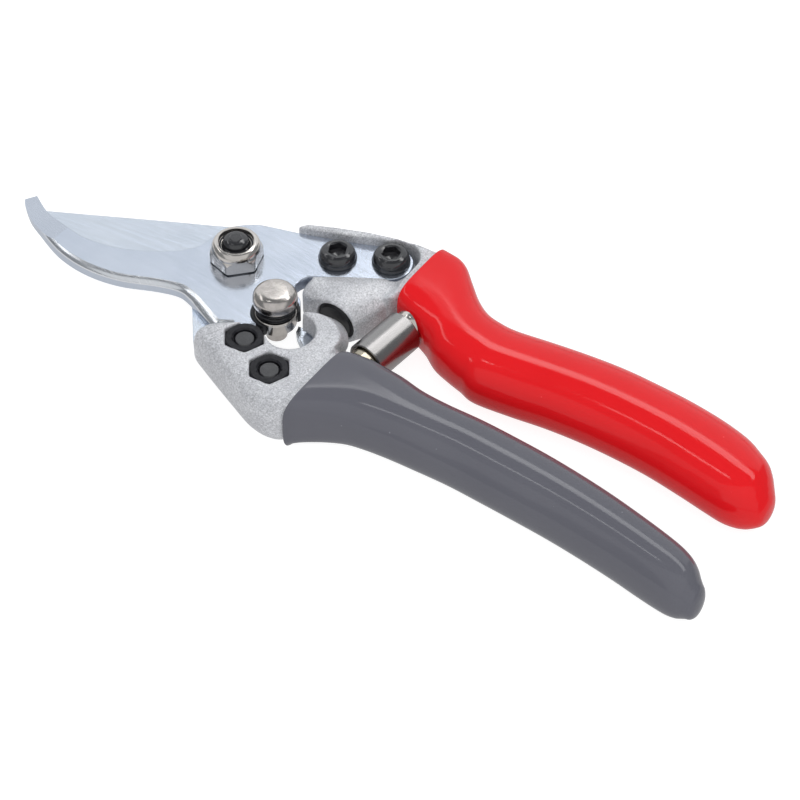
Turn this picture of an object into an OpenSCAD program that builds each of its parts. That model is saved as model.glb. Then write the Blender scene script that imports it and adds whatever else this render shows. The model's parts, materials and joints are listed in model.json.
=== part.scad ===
// Bypass pruning shears: two cast handles with dipped grips, a hook blade and a
// cutting blade bolted to them, a volute spring between the handles and a
// push-button lock. The shears are closed. X runs from the pivot towards the
// grips, Z is the pivot axis, and the pivot bolt's head stands on z = 0.

/* [Blades] */
// Height of the plane in which the two blades slide on each other
slide_z = 8.6; // [8:0.1:9.4]
// Thickness of the cutting blade
blade_t = 3.2; // [2.8:0.1:3.2]
// Thickness of the hook blade
hook_t = 3.8; // [3.4:0.1:4.2]

/* [Pivot] */
// Diameter of the pivot bolt
pivot_d = 8; // [8:8]
// Width across flats of the pivot bolt's head and nut
pivot_af = 13; // [13:13]
// Height of the locking nut
pivot_nut_h = 6.5; // [6.3:0.1:7]
// Radial running clearance of the cutting blade on the pivot bolt
pivot_gap = 0.05; // [0.03:0.01:0.08]

/* [Blade screws] */
// Diameter of the four screws that hold the blades to the castings
screw_d = 6; // [6:6]
// Width across flats of the nuts on those screws
screw_af = 10; // [10:10]
// Height of those nuts
screw_nut_h = 5; // [4.6:0.1:5]
// Diameter of the screws' button heads
screw_head_d = 10.5; // [10:0.1:10.8]
// Height of the screws' button heads
screw_head_h = 3.3; // [3:0.1:3.4]

/* [Handles] */
// Height of both grips, over the plastic
grip_h = 17.2; // [17.2:17.2]
// Thickness of the dipped plastic
grip_skin = 1.3; // [1.1:0.1:1.5]
// Where the plastic of both grips begins, from the pivot
grip_x = 45.2; // [45:0.1:45.4]
// Height of the castings' flat tops above the hook blade
casting_rise = 3.4; // [3:0.1:3.5]

/* [Spring] */
// Outer radius of the widest turn of the volute spring
turn_r = 6.2; // [6.1:0.05:6.3]
// Thickness of the spring's strip
strip_t = 0.75; // [0.7:0.05:0.8]
// Width of the spring's strip
strip_w = 15.5; // [15:0.5:16]
// How far each turn stands out of the next wider one when closed
turn_step = 3.5; // [3.3:0.1:3.6]

/* [Lock] */
// Radius of the lock pin's collar
collar_r = 5.6; // [5.4:0.1:5.6]
// Radius of the lock pin's domed button
button_r = 6.0; // [5.8:0.05:6.05]
// Height of the dome's top above the hook blade
button_top = 8.1; // [7.8:0.1:8.5]

/* [Hidden] */

top_z = slide_z + hook_t;
blade_z = slide_z - blade_t;
casting_top = top_z + casting_rise;
casting_foot = 1.2;
far = 200;
eps = 0.01;
loft_sides = 32;

red = "#e0222b";
grey = "#6f7078";
cast = "#c4c5c9";
steel = "#c3cbd9";
nickel = "#b9b0a6";
black = "#26282b";

pivot_r = pivot_d / 2;
screw_r = screw_d / 2;
hook_screw_at = [[22.3, 15.6], [34.9, 22.8]];
blade_screw_at = [[21.4, -24.5], [33.4, -29.8]];
lock_at = [20.8, -10.3];
lock_ring_r = 6.6;
bumper_r = 5.9;
bumper_at = [33.4, -1.2, 8.3];
hub_clear_r = 26.5;
horn_notch_at = [29.8, -15.9];
horn_notch_r = 6.7;

// The spring's axis: a line square to the bisector of its two seats
spring_foot_r = 50.1;
spring_bisector = -5.3;
spring_half = 14.2;
spring_len = 2 * spring_half;
stud_red_r = 4.9;
stud_grey_r = 1.7;
turn_pitch = 1.05;

// ---- curves and lofts -------------------------------------------------------

// One point of the curve through p[1] and p[2]
function through(p, t) = 0.5 * (2 * p[1] + (p[2] - p[0]) * t
    + (2 * p[0] - 5 * p[1] + 4 * p[2] - p[3]) * t * t
    + (3 * p[1] - p[0] - 3 * p[2] + p[3]) * t * t * t);
function at(pts, i) = pts[min(max(i, 0), len(pts) - 1)];
// Smooth open curve through pts, without its last point
function curve(pts, n = 6) = [for (i = [0 : len(pts) - 2]) for (j = [0 : n - 1])
    through([at(pts, i - 1), pts[i], pts[i + 1], at(pts, i + 2)], j / n)];
function arc(r, a0, a1, n = 8, c = [0, 0]) =
    [for (i = [0 : n]) c + r * [cos(a0 + (a1 - a0) * i / n), sin(a0 + (a1 - a0) * i / n)]];
function spow(v, e) = sign(v) * pow(abs(v), 2 / e);
// Ring of a station [x, centre y, half width, half height, squareness]
function ring(s, skin) = [for (k = [0 : loft_sides - 1]) let (t = 360 * k / loft_sides)
    [s[0], s[1] + max(s[2] - skin, 0.2) * spow(cos(t), s[4]),
     slide_z - tip_drop * (h - s[3]) + max(s[3] - skin, 0.2) * spow(sin(t), s[4])]];

// Solid with superellipse sections through the stations
module loft(stations, skin = 0) {
    path = concat(curve(stations, 3), [stations[len(stations) - 1]]);
    m = len(path);
    n = loft_sides;
    points = [for (s = path) each ring(s, skin)];
    sides = [for (i = [0 : m - 2]) for (k = [0 : n - 1])
        [i * n + k, (i + 1) * n + k, (i + 1) * n + (k + 1) % n, i * n + (k + 1) % n]];
    front = [for (k = [0 : n - 1]) k];
    back = [for (k = [n - 1 : -1 : 0]) (m - 1) * n + k];
    polyhedron(points, concat(sides, [front, back]), convexity = 4);
}

h = grip_h / 2;
// Share of its lost height by which a grip's tip hangs lower
tip_drop = 0.15;
// Stations of both grips: x, centre y, half width, half height, squareness
red_grip_path = [
    [grip_x, 21.9, 11.5, h, 4.2], [48, 21.4, 12.0, h, 4.0], [51, 20.8, 12.4, h, 3.7],
    [54, 19.5, 12.3, h, 3.4], [58, 16.8, 11.6, h, 3.0], [63, 13.1, 11.2, h, 2.6],
    [68, 11.2, 10.4, h, 2.4], [73, 9.9, 11.0, h, 2.3], [78, 9.4, 11.8, h, 2.25],
    [88, 11.0, 12.2, h, 2.2], [98, 12.7, 12.1, h, 2.2], [108, 13.8, 12.1, h, 2.2],
    [118, 14.1, 12.0, h, 2.2], [128, 13.9, 12.0, h, 2.2], [138, 12.9, 12.0, h, 2.2],
    [146, 11.5, 11.6, h, 2.2], [151, 10.1, 10.6, h - 0.1, 2.2], [154.5, 9.3, 9.3, h - 0.5, 2.2],
    [157, 8.5, 7.6, h - 1.6, 2.2], [158.6, 7.9, 6.1, h - 2.8, 2.1], [160, 7.6, 4.8, h - 4.2, 2.0],
    [161, 7.4, 2.9, h - 6.0, 2.0], [161.6, 7.3, 0.9, 0.8, 2.0]];
grey_grip_path = [
    [grip_x, -26.6, 14.0, h, 4.2], [48, -24.7, 13.1, h, 4.0], [53, -22.6, 12.1, h, 3.4],
    [58, -21.4, 11.1, h, 2.9], [63, -20.9, 10.6, h, 2.6], [70, -20.9, 9.7, h, 2.4],
    [78, -20.6, 9.4, h, 2.3], [88, -20.0, 9.5, h, 2.2], [98, -20.0, 9.5, h, 2.2],
    [108, -20.2, 9.4, h, 2.2], [118, -20.7, 9.1, h, 2.2], [128, -21.6, 8.8, h, 2.2],
    [138, -22.9, 8.4, h, 2.2], [146, -24.2, 8.1, h, 2.2], [151, -25.1, 7.7, h - 0.1, 2.2],
    [154.5, -25.9, 7.1, h - 0.5, 2.2], [157, -26.6, 6.1, h - 1.4, 2.2],
    [158.6, -27.1, 5.1, h - 2.5, 2.1], [160.3, -27.6, 4.2, h - 3.8, 2.0],
    [161.5, -27.9, 2.9, h - 5.4, 2.0], [162.3, -28.0, 0.9, 0.9, 2.0]];
// The castings' handles reach into the head and end a little before the grips do
function core_path(path) = concat([path[0] - [2, 0, 0, 0, 0]], [for (i = [0 : len(path) - 5]) path[i]]);

// ---- outlines ---------------------------------------------------------------

hook_outline = concat(
    curve([[-64.5, -12.8], [-62.6, -14.9], [-57.5, -18.7], [-52, -21.2], [-42, -24.9],
           [-32, -25.9], [-22, -24.2], [-12, -19.9], [-6, -18.1], [-2, -18.7],
           [2, -20.2], [6, -21.9], [9, -23.1]]),
    arc(25.6, -66, -49, 6),
    [[25, -8.6]],
    curve([[25.2, -5.6], [23.4, -2.9], [20.4, -1.2], [19.0, 1.6], [20.1, 5.4]], 4),
    [[20.1, 5.4]],
    arc(6.4, -52, 62, 10, [34.9, 22.3]),
    curve([[34.5, 27.9], [28.2, 25.6], [23, 23.3], [15, 20.2], [8, 17.6], [0, 15],
           [-3.5, 13.6], [-7, 10.8], [-9.5, 7.6], [-10.5, 3], [-11.1, -1],
           [-12.7, -4.2], [-15.3, -7.1], [-20, -10.6], [-25, -13.4], [-30, -15.6],
           [-37, -17.1], [-43, -17.2], [-50.4, -15.7], [-55.8, -13.9], [-62.4, -10.1]]),
    [[-62.4, -10.1]]);

blade_hub_r = 14.5;
tang_notch_r = 5.9;
blade_outline = concat(
    curve([[-58.6, -13.4], [-55, -15.7], [-50, -17.9], [-42, -20.1], [-34, -20.5],
           [-26, -18.9], [-18, -15.6], [-12, -13.5], [-7, -14.3], [-1.8, -18.0],
           [3.5, -24.2], [8.0, -29.4], [13, -32.0]]),
    curve([[13, -32.0], [22, -34.0], [32, -36.4], [38.0, -36.0], [40.6, -32.5],
           [41.0, -26], [40.2, -18], [37.6, -11.8], [33.0, -8.6], [28.6, -7.3]]),
    [[28.6, -7.3], [26.0, -7.4], [25.6, -8.4], [28.2, -10.9], [31.6, -13.1],
     [32, -17], [29.5, -20.8], [25.6, -21.6], [22.2, -19.6]],
    arc(blade_hub_r, -18, 112, 16),
    curve([[-5.6, 13.4], [-11.2, 11.7], [-16, 9.25], [-28, 3.05], [-42, -4.4], [-57, -12.35]], 4),
    [[-57, -12.35]]);

// ---- hook side --------------------------------------------------------------

module hook_blade() color(steel) difference() {
    translate([0, 0, slide_z]) linear_extrude(hook_t) polygon(hook_outline);
    translate([0, 0, -eps]) cylinder(r = pivot_r, h = far, $fn = 64);
    for (p = hook_screw_at)
        translate([p[0], p[1], 0]) cylinder(r = screw_r, h = far, $fn = 48);
    translate([lock_at[0], lock_at[1], 0]) cylinder(r = lock_ring_r, h = far, $fn = 64);
    // Ground facet at the tip
    translate([-45.3, -20, top_z]) rotate([0, -tip_slope, tip_turn]) translate([-far, -far / 2, 0])
        cube([far, far, far]);
}
tip_slope = 9;
tip_turn = -3;

// Outline of the red casting's head, convex, with its two ends on the grip's edge
red_head = [[8.4, 16.6], [7.4, 18.2], [8.8, 20.0], [15.5, 23.2], [24.4, 26.9],
            [32.8, 29.5], [39, 30.8], [grip_x - eps, 31.2], [grip_x - eps, 12.2], [43.4, 9.4],
            [22.5, 5.2], [17.2, 7.0]];

module boss() {
    // Rounded lug that carries the bumper
    edge = 1.6;
    hull() {
        for (p = [[25.0, 5.0, 4.6, 2.0, top_z + 0.3], [32, 8, 5.6, 1.4, top_z + 0.6],
                  [38.6, 12.4, 5.0, 1.4, top_z + 0.8]])
            translate([p[0], p[1], p[3]]) {
                cylinder(r = p[2], h = p[4] - p[3] - edge, $fn = 32);
                cylinder(r = p[2] - edge, h = p[4] - p[3], $fn = 32);
            }
        translate([bumper_at[0], bumper_at[1], bumper_at[2]]) rotate([-90, 0, 0]) {
            cylinder(r = 6.9, h = 2, $fn = 32);
            translate([0, 0, 1]) cylinder(r = 7.1, h = 7, $fn = 32);
        }
        translate([24.6, 2.9, 4]) cylinder(r = 3.9, h = 7, $fn = 32);
    }
}

// Space over the near half of the red head, down to the plate's level, rising to the grip
module near_cut() intersection() {
    translate([-far / 2, -far / 2, top_z + 0.3]) cube(far);
    translate([40.5, 0, top_z + 0.3]) rotate([0, -33, 0]) translate([-far / 2, -far / 2, 0]) cube(far);
    linear_extrude(far) polygon([[0, -60], [80, -60], [80, 46], [46.0, 24.6], [20.1, 6.6], [0, -7]]);
}

module plate_pocket() {
    translate([0, 0, slide_z]) linear_extrude(far) {
        polygon(hook_outline);
        translate([36.6, 22.6]) circle(r = 6.5, $fn = 48);
        translate(hook_screw_at[1]) circle(r = screw_head_d / 2 + 0.2, $fn = 48);
    }
}

module red_casting() color(cast) difference() {
    union() {
        difference() {
            hull() {
                translate([0, 0, casting_foot + 1.8])
                    linear_extrude(casting_top - casting_foot - 3.6) polygon(red_head);
                translate([0, 0, casting_foot]) linear_extrude(casting_top - casting_foot)
                    intersection() {
                        offset(delta = -1.4) polygon(red_head);
                        translate([12, -far / 2]) square(far);
                    }
            }
            near_cut();
        }
        boss();
        loft(core_path(red_grip_path), grip_skin);
    }
    // Everything nearer the pivot is the blades'
    translate([0, 0, -far / 2]) cylinder(r = 17.9, h = far, $fn = 96);
    plate_pocket();
    // The rim falls away towards its tip
    translate([40, 0, casting_top]) rotate([0, rim_fall, 0]) translate([-far, -far / 2, 0]) cube([far, far, far]);
    for (p = hook_screw_at) translate([p[0], p[1], 0]) {
        cylinder(r = screw_r + 0.2, h = far, $fn = 48);
        cylinder(r = screw_af / sqrt(3) + 0.15, h = 1.4 + screw_nut_h, $fn = 6);
    }
    translate(bumper_at) rotate([-90, 0, 0]) translate([0, 0, -5])
        cylinder(r = bumper_r, h = 10, $fn = 64);
    // Room for the spring to swing
    spring_room();
}
rim_fall = -2.2;

module spring_room() spring_frame() rotate(20) translate([0, 0, -1.2]) cylinder(r = 7.0, h = 30, $fn = 64);

module red_grip() color(red) difference() {
    loft(red_grip_path);
    loft(core_path(red_grip_path), grip_skin);
    spring_room();
    spring_frame() rotate(20) translate([0, 0, -4]) cylinder(r = 3.3, h = 4, $fn = 48);
}

module button_screw(length) {
    // Head downwards on z = 0, shank up
    socket_af = 4;
    difference() {
        union() {
            rotate_extrude($fn = 64) polygon([[0, -screw_head_h], [3.4, -screw_head_h],
                [4.6, -screw_head_h * 0.72], [5.1, -screw_head_h * 0.36],
                [screw_head_d / 2, -0.5], [screw_head_d / 2, 0], [0, 0]]);
            cylinder(r = screw_r, h = length, $fn = 48);
        }
        translate([0, 0, -far + -screw_head_h + 2]) cylinder(r = socket_af / sqrt(3), h = far, $fn = 6);
    }
}

hook_screw_len = hook_t + slide_z - 1.6;
module hook_screws() color(black) for (p = hook_screw_at)
    translate([p[0], p[1], top_z]) mirror([0, 0, 1]) rotate(8) button_screw(hook_screw_len);

module hex_nut(bore_r, af, height) difference() {
    cylinder(r = af / sqrt(3), h = height, $fn = 6);
    translate([0, 0, -1]) cylinder(r = bore_r, h = height + 2, $fn = 48);
}

module hook_nuts() color(black) for (p = hook_screw_at)
    translate([p[0], p[1], 1.4]) hex_nut(screw_r, screw_af, screw_nut_h);

module pivot_bolt() color(black) {
    head_h = blade_z;
    intersection() {
        cylinder(r = pivot_af / sqrt(3), h = head_h, $fn = 6);
        rotate_extrude($fn = 64) polygon([[0, 0], [pivot_af / 2 - 0.4, 0],
            [pivot_af / sqrt(3) + 0.1, 0.8], [pivot_af / sqrt(3) + 0.1, head_h], [0, head_h]]);
    }
    cylinder(r = pivot_r, h = top_z + pivot_nut_h + bolt_end, $fn = 64);
}

bolt_end = 1.3;
nut_flats_h = 5.0;
module pivot_nut() color(nickel) translate([0, 0, top_z]) difference() {
    union() {
        intersection() {
            rotate(47) cylinder(r = pivot_af / sqrt(3), h = nut_flats_h, $fn = 6);
            rotate_extrude($fn = 64) polygon([[0, 0], [7.1, 0], [7.6, 0.4], [7.6, nut_flats_h - 0.7],
                [6.4, nut_flats_h], [0, nut_flats_h]]);
        }
        rotate_extrude($fn = 64) polygon([[0, nut_flats_h - 1], [6.3, nut_flats_h - 1],
            [6.3, nut_flats_h + 0.2], [6.0, nut_flats_h + 0.8], [5.4, pivot_nut_h - 0.1],
            [4.9, pivot_nut_h], [0, pivot_nut_h]]);
    }
    translate([0, 0, -1]) cylinder(r = pivot_r, h = far, $fn = 64);
    translate([0, 0, insert_z]) cylinder(r = insert_r, h = far, $fn = 64);
}
insert_z = 3.8;
insert_r = 4.75;

module nut_insert() color("#3c4252") translate([0, 0, top_z + insert_z]) difference() {
    cylinder(r = insert_r, h = 1.9, $fn = 64);
    translate([0, 0, -1]) cylinder(r = pivot_r, h = 5, $fn = 64);
}

module rubber_bumper() color(black) translate(bumper_at) rotate([-90, 0, 0])
    rotate_extrude($fn = 64) polygon([[0, 0], [bumper_r - 0.8, 0], [bumper_r, 0.8], [bumper_r, 5], [0, 5]]);

module lock_ring() color(black) translate([lock_at[0], lock_at[1], top_z - 3.4]) difference() {
    cylinder(r = lock_ring_r, h = 3.7, $fn = 64);
    translate([0, 0, -1]) cylinder(r = collar_r + 0.08, h = 10, $fn = 64);
    // Open on the side away from the pivot, as the plate is
    rotate(-26) translate([3.4, -far / 2, -1]) cube(far);
}

// ---- spring -----------------------------------------------------------------

// z runs from the red seat to the grey seat
module spring_frame() rotate(spring_bisector)
    translate([spring_foot_r, spring_half, slide_z]) rotate([90, 0, 0]) children();

module spring_turn(i) {
    start = 2.6 + i * turn_step;
    length = i == 3 ? strip_w + 0.8 : strip_w;
    color(nickel) spring_frame() translate([0, 0, start]) difference() {
        cylinder(r = turn_r - i * turn_pitch, h = length, $fn = 64);
        translate([0, 0, -1]) cylinder(r = turn_r - i * turn_pitch - strip_t, h = 40, $fn = 64);
    }
}

module spring_turn_1() spring_turn(0);
module spring_turn_2() spring_turn(1);
module spring_turn_3() spring_turn(2);
module spring_turn_4() spring_turn(3);

module spring_stud_red() color(nickel) spring_frame() {
    intersection() {
        sphere(r = stud_red_r, $fn = 64);
        translate([0, 0, -1.1]) cylinder(r = 10, h = 10, $fn = 64);
    }
    translate([0, 0, -3]) cylinder(r = 3, h = 3, $fn = 48);
}

grey_pocket_depth = 3.2;
module spring_stud_grey() color(nickel) spring_frame() translate([0, 0, spring_len]) {
    sphere(r = stud_grey_r, $fn = 64);
    cylinder(r = 1.3, h = grey_pocket_depth, $fn = 48);
}

// ---- blade side -------------------------------------------------------------

module cutting_blade() color(steel) difference() {
    translate([0, 0, blade_z]) linear_extrude(blade_t) polygon(blade_outline);
    cylinder(r = pivot_r + pivot_gap, h = far, $fn = 64);
    translate([lock_at[0], lock_at[1], 0]) cylinder(r = tang_notch_r, h = far, $fn = 64);
    for (p = blade_screw_at) translate([p[0], p[1], 0]) cylinder(r = screw_r, h = far, $fn = 48);
    // The lock's finger is thinner than the tang
    translate([lock_at[0], lock_at[1], slide_z - 1.1]) cylinder(r = 9.2, h = far, $fn = 64);
}

grey_head = [[12.2, -23.0], [8.9, -25.2], [7.4, -28.0], [8.5, -31.0], [15.6, -33.7],
             [26, -37.9], [34.5, -41.4], [40.5, -42.0], [grip_x - eps, -40.2],
             [grip_x - eps, -14.0], [41, -11.0], [24, -12.0]];

module horn() hull() {
    translate([0, 0, slide_z]) linear_extrude(1.2) polygon(curve([[27.9, -7.6], [28.4, -5.2],
        [30.4, -2.8], [33.6, -1.55], [37.2, -2.2], [40.4, -4.6], [42.4, -8.0], [43.2, -14],
        [42, -20], [36, -20], [30, -12], [27.9, -7.6]], 4));
    translate([0, 0, casting_top - 0.4]) linear_extrude(0.4) polygon(curve([[28.8, -8.7],
        [30, -7.8], [32.3, -6.9], [35.4, -6.7], [38.2, -7.4], [40.7, -9.0], [42.6, -11.4],
        [42.8, -16], [41, -20], [36, -20], [31, -13], [28.8, -8.7]], 4));
}

module grey_casting() color(cast) difference() {
    union() {
        hull() {
            translate([0, 0, 4.0]) linear_extrude(7.8) polygon(grey_head);
            for (s = [[0.5, 2.2], [1.4, 0.9], [2.8, 0]])
                translate([0, 0, 8]) linear_extrude(casting_top - 8 - s[1])
                    offset(delta = -s[0]) polygon(grey_head);
            translate([0, 0, casting_foot]) linear_extrude(5) intersection() {
                offset(delta = -2.4) polygon(grey_head);
                translate([14, -far / 2]) square(far);
            }
        }
        horn();
        loft(core_path(grey_grip_path), grip_skin);
    }
    // Circle in which the hook blade's hub stands
    translate([0, 0, slide_z - far]) cylinder(r = hub_clear_r, h = 2 * far, $fn = 128);
    translate([horn_notch_at[0], horn_notch_at[1], -eps]) cylinder(r = horn_notch_r, h = far, $fn = 64);
    // The edge that sweeps past the lock pin
    linear_extrude(far) polygon(concat(
        curve([[14, -22.6], [17.6, -20.5], [20.0, -19.6], [22.6, -19.9], [25.8, -21.2]], 4),
        [[25.8, -21.2], [28.9, -16], [28.6, -8.8], [26, -3], [8, -3]]));
    // Pocket under the head for the tang
    translate([0, 0, -far + slide_z]) linear_extrude(far) {
        polygon(blade_outline);
        translate([0, -26]) square([38.8, 26]);
    }
    for (p = blade_screw_at) translate([p[0], p[1], 0]) {
        cylinder(r = screw_r, h = far, $fn = 48);
        translate([0, 0, casting_top - screw_nut_h - 0.5]) rotate(7)
            cylinder(r = screw_af / sqrt(3) + 0.15, h = far, $fn = 6);
    }
    spring_frame() rotate(20) translate([0, 0, 12]) cylinder(r = 6.0, h = 16.4 + grey_pocket_depth, $fn = 64);
}

module grey_grip() color(grey) difference() {
    loft(grey_grip_path);
    loft(core_path(grey_grip_path), grip_skin);
    spring_frame() rotate(20) cylinder(r = 6.4, h = 27, $fn = 64);
}

blade_screw_len = casting_top - 1 - blade_z;
module blade_screws() color(black) for (p = blade_screw_at)
    translate([p[0], p[1], blade_z]) button_screw(blade_screw_len);

module blade_nuts() color(black) for (p = blade_screw_at)
    translate([p[0], p[1], casting_top - screw_nut_h - 0.5]) rotate(7)
        hex_nut(screw_r, screw_af, screw_nut_h);

// ---- lock -------------------------------------------------------------------

stem_r = 3.75;
nose_r = 2.9;
collar_h = 2.2;
cone_h = collar_r - nose_r;
ring_d = 1.7;

module lock_button() color(nickel) translate([lock_at[0], lock_at[1], top_z])
    rotate_extrude($fn = 96) polygon(concat(
        [[0, -8.8], [nose_r - 0.5, -8.8], [nose_r, -8.3], [nose_r, -collar_h - cone_h],
         [stem_r - 1.2, -collar_h - cone_h], [stem_r - 1.2, -0.1], [stem_r, -0.1], [stem_r, 3.9]],
        [[button_r - 0.5, 3.9], [button_r, 4.4], [button_r, 6.0]],
        [for (i = [1 : 8]) [button_r * cos(i * 11.25) , 6.0 + (button_top - 6.0) * sin(i * 11.25)]]));

module lock_collar() color(nickel) translate([lock_at[0], lock_at[1], top_z])
    rotate_extrude($fn = 96) polygon([[stem_r - 1.2, -collar_h - cone_h],
        [nose_r, -collar_h - cone_h], [collar_r, -collar_h], [collar_r, 0.1],
        [collar_r - 0.4, 0.4], [stem_r + 0.9, 0.4], [stem_r + 0.9, -0.1], [stem_r - 1.2, -0.1]]);

module lock_orings() color(black) translate([lock_at[0], lock_at[1], top_z])
    for (z = [1.27, 3.0])
        translate([0, 0, z]) rotate_extrude($fn = 96)
            translate([stem_r + ring_d / 2 - 0.02, 0]) circle(r = ring_d / 2, $fn = 32);

// ---- all --------------------------------------------------------------------

red_casting();
red_grip();
hook_blade();
hook_screws();
hook_nuts();
pivot_bolt();
pivot_nut();
nut_insert();
rubber_bumper();
lock_ring();
spring_stud_red();
grey_casting();
grey_grip();
cutting_blade();
blade_screws();
blade_nuts();
spring_stud_grey();
lock_button();
lock_collar();
lock_orings();
spring_turn_1();
spring_turn_2();
spring_turn_3();
spring_turn_4();
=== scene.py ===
"""Pruning shears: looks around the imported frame. Metres, row frame, Z up, pivot at the origin."""

import json  # noqa: E402
import math  # noqa: E402

import bmesh  # noqa: E402
import bpy  # noqa: E402
import numpy as np  # noqa: E402
from mathutils import Matrix, Vector, geometry  # noqa: E402


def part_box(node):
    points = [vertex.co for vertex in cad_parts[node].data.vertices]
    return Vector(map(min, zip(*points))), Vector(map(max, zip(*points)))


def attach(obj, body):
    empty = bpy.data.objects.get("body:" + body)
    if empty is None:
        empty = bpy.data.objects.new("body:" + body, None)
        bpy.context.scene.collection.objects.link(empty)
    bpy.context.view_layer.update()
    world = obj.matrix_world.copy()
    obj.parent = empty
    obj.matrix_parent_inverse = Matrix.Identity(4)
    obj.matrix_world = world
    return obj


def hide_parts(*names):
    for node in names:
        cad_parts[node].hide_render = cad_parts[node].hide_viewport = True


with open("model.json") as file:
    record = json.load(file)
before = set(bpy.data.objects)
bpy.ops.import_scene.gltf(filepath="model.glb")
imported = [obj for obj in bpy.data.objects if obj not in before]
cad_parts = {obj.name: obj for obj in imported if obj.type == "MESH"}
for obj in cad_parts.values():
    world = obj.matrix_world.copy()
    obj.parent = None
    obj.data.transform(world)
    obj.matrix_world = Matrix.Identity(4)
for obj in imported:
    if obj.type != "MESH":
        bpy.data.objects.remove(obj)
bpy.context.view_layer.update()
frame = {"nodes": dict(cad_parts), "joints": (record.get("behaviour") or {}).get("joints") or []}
MM = 0.001
nodes = frame["nodes"]
joints = {j["name"]: j for j in frame["joints"]}

# ---- places read from the frame ------------------------------------------------

plate_low, plate_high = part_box("hook_blade")
slide_z = plate_low.z
top_z = plate_high.z
blade_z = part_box("cutting_blade")[0].z
grip_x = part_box("grey_grip")[0].x
spring_seat = Vector(joints["spring_swing"]["pos_m"])
spring_dir = Vector(joints["spring_reach_2"]["axis"]).normalized()


def middle(node):
    low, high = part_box(node)
    return (low + high) / 2


# ---- materials -----------------------------------------------------------------


def new_material(name, **sockets):
    """A material with a Principled shader whose plain sockets are set by keyword."""
    mat = bpy.data.materials.new(name)
    mat.use_nodes = True
    shader = mat.node_tree.nodes["Principled BSDF"]
    for key, value in sockets.items():
        shader.inputs[key.replace("_", " ")].default_value = value
    return mat, mat.node_tree, shader


def add(tree, kind, **settings):
    made = tree.nodes.new(kind)
    for key, value in settings.items():
        if key in made.inputs:
            made.inputs[key].default_value = value
        else:
            setattr(made, key, value)
    return made


def object_point(tree, scale=(1, 1, 1), turn=0.0):
    """Object coordinates, turned about Z and then scaled."""
    where = add(tree, "ShaderNodeTexCoord")
    turned = add(tree, "ShaderNodeMapping")
    turned.inputs["Rotation"].default_value = (0, 0, turn)
    scaled = add(tree, "ShaderNodeMapping")
    scaled.inputs["Scale"].default_value = scale
    tree.links.new(where.outputs["Object"], turned.inputs["Vector"])
    tree.links.new(turned.outputs["Vector"], scaled.inputs["Vector"])
    return scaled.outputs["Vector"]


def noise_of(tree, vector, scale, detail=3.0, rough=0.55):
    made = add(tree, "ShaderNodeTexNoise", Scale=scale, Detail=detail, Roughness=rough)
    tree.links.new(vector, made.inputs["Vector"])
    return made.outputs["Fac"]


def ramp(tree, value, stops):
    """A colour ramp; stops are (place, colour)."""
    made = add(tree, "ShaderNodeValToRGB")
    band = made.color_ramp
    while len(band.elements) < len(stops):
        band.elements.new(0.5)
    for element, (place, colour) in zip(band.elements, stops):
        element.position = place
        element.color = (*colour, 1)
    tree.links.new(value, made.inputs["Fac"])
    return made.outputs["Color"]


def span(tree, value, low, high, start=0.0, end=1.0):
    """value from start..end mapped to low..high, clamped."""
    made = add(tree, "ShaderNodeMapRange")
    made.inputs["From Min"].default_value = start
    made.inputs["From Max"].default_value = end
    made.inputs["To Min"].default_value = low
    made.inputs["To Max"].default_value = high
    tree.links.new(value, made.inputs["Value"])
    return made.outputs["Result"]


def bump(tree, height, strength, distance, normal=None):
    made = add(tree, "ShaderNodeBump", Strength=strength, Distance=distance)
    tree.links.new(height, made.inputs["Height"])
    if normal is not None:
        tree.links.new(normal, made.inputs["Normal"])
    return made.outputs["Normal"]


def mixed(tree, factor, first, second, kind="MIX"):
    """Two colours mixed; each is an output or an RGB tuple."""
    made = add(tree, "ShaderNodeMix", data_type="RGBA", blend_type=kind)
    for name, value in (("A", first), ("B", second)):
        socket = [s for s in made.inputs if s.name == name and s.type == "RGBA"][0]
        if isinstance(value, tuple):
            socket.default_value = (*value, 1)
        else:
            tree.links.new(value, socket)
    socket = [s for s in made.inputs if s.name == "Factor" and s.type == "VALUE"][0]
    if isinstance(factor, float):
        socket.default_value = factor
    else:
        tree.links.new(factor, socket)
    return [s for s in made.outputs if s.type == "RGBA"][0]


def cast_metal():
    """Tumbled aluminium: a fine sparkling grain, slightly uneven."""
    mat, tree, shader = new_material("cast_aluminium", Metallic=0.25)
    point = object_point(tree)
    grain = noise_of(tree, point, 2600, 2, 0.6)
    patch = noise_of(tree, point, 90, 3)
    speck = add(tree, "ShaderNodeTexVoronoi", Scale=2300)
    tree.links.new(point, speck.inputs["Vector"])
    tones = [(0.3, (0.53, 0.535, 0.55)), (0.5, (0.74, 0.745, 0.77)), (0.72, (0.95, 0.955, 0.98))]
    fine = ramp(tree, grain, tones)
    flecks = ramp(tree, speck.outputs["Color"], [(0.0, (0.7, 0.7, 0.71)), (0.8, (1, 1, 1)), (1.0, (1, 1, 1))])
    toned = mixed(tree, 1.0, fine, flecks, "MULTIPLY")
    wide = ramp(tree, patch, [(0.35, (0.9, 0.9, 0.91)), (0.65, (1.06, 1.06, 1.06))])
    tree.links.new(mixed(tree, 1.0, toned, wide, "MULTIPLY"), shader.inputs["Base Color"])
    tree.links.new(span(tree, grain, 0.34, 0.56, 0.35, 0.65), shader.inputs["Roughness"])
    coarse = bump(tree, noise_of(tree, point, 700, 2), 0.35, 0.00012)
    tree.links.new(bump(tree, grain, 0.75, 0.00009, coarse), shader.inputs["Normal"])
    return mat


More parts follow.
